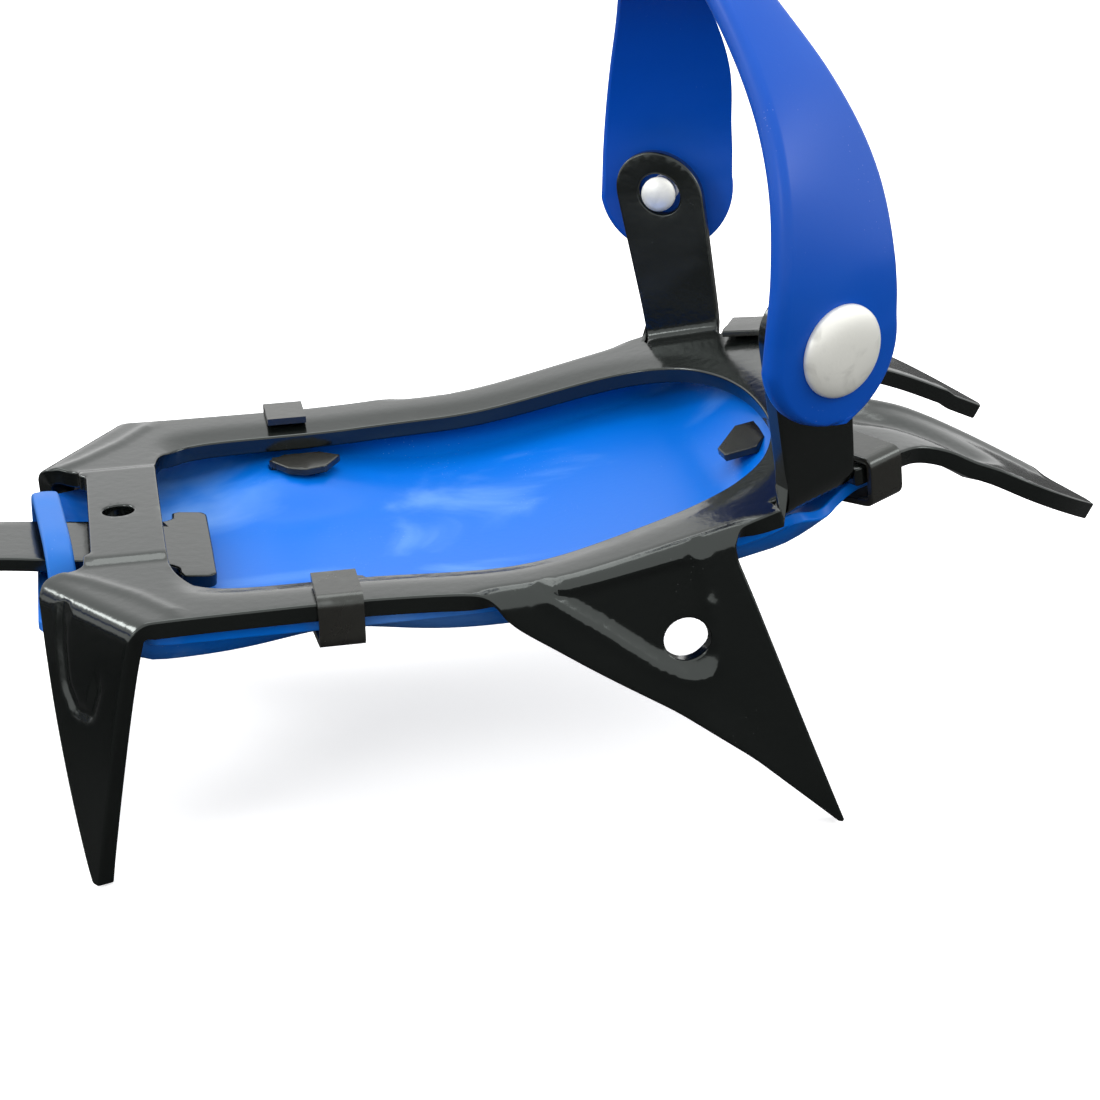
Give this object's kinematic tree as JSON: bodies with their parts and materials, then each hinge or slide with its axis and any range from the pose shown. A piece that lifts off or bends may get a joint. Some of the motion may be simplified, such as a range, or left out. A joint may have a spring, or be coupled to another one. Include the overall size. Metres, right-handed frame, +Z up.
{
  "type": "strap-on crampon",
  "caption": "Pressed steel crampon for one boot: pointed front and heel frames on a link bar, snow trays held by clips, hinged plastic toe and heel harnesses.",
  "frame": {"origin": "on the ground under the middle of the crampon, between its left and right sides; the points stand on z = 0", "axes": "+X towards the toe, +Y towards the left of the boot, +Z up"},
  "size_m": [0.3668, 0.116, 0.1415],
  "materials": {
    "black_painted_steel": "glossy black paint, worn at edges",
    "snow_tray_plastic": "semi-gloss flexible blue plastic",
    "harness_plastic": "satin flexible blue plastic",
    "rivet_steel": "dull silver, lightly brushed",
    "zinc_steel": "zinc plated"
  },
  "bodies": {
    "front_section": {"front_frame": "black_painted_steel", "front_snow_tray": "snow_tray_plastic", "front_left_side_clip": "black_painted_steel", "front_right_side_clip": "black_painted_steel", "front_left_toe_clip": "black_painted_steel", "front_right_toe_clip": "black_painted_steel"},
    "toe_harness": {"toe_harness": "harness_plastic", "toe_rivet_left": "rivet_steel", "toe_rivet_right": "rivet_steel"},
    "link_bar": {"link_bar": "black_painted_steel"},
    "heel_section": {"heel_frame": "black_painted_steel", "heel_snow_tray": "snow_tray_plastic", "heel_left_front_clip": "black_painted_steel", "heel_right_front_clip": "black_painted_steel", "heel_left_rear_clip": "black_painted_steel", "heel_right_rear_clip": "black_painted_steel", "clamp_screw": "zinc_steel", "clamp_washer": "zinc_steel"},
    "wing_nut": {"clamp_wing_nut": "zinc_steel"},
    "heel_harness": {"heel_harness": "harness_plastic", "heel_rivet_left": "rivet_steel", "heel_rivet_right": "rivet_steel", "buckle_pin": "zinc_steel"},
    "buckle": {"strap_buckle": "zinc_steel"}
  },
  "joints": [
    {"name": "toe_harness_tilt", "type": "hinge", "parent": "front_section", "child": "toe_harness", "pos_m": [0.12694, 0, 0.08014], "axis": [0, 1, 0], "range_deg": [-22, 22]},
    {"name": "link_bar_rock", "type": "hinge", "parent": "front_section", "child": "link_bar", "pos_m": [0.022, 0, 0.0383], "axis": [0, 1, 0], "range_deg": [-4, 5]},
    {"name": "length_adjust", "type": "slide", "parent": "link_bar", "child": "heel_section", "axis": [1, 0, 0], "range_m": [-0.02, 0.02]},
    {"name": "wing_nut_turn", "type": "hinge", "parent": "heel_section", "child": "wing_nut", "pos_m": [-0.074, 0, 0.033], "axis": [0, 0, 1], "continuous": true},
    {"name": "heel_harness_tilt", "type": "hinge", "parent": "heel_section", "child": "heel_harness", "pos_m": [-0.136, 0, 0.078], "axis": [0, 1, 0], "range_deg": [-35, 25]},
    {"name": "buckle_swing", "type": "hinge", "parent": "heel_harness", "child": "buckle", "pos_m": [-0.1196, 0.0444, 0.11], "axis": [0, 0, 1], "range_deg": [-5, 100]}
  ]
}
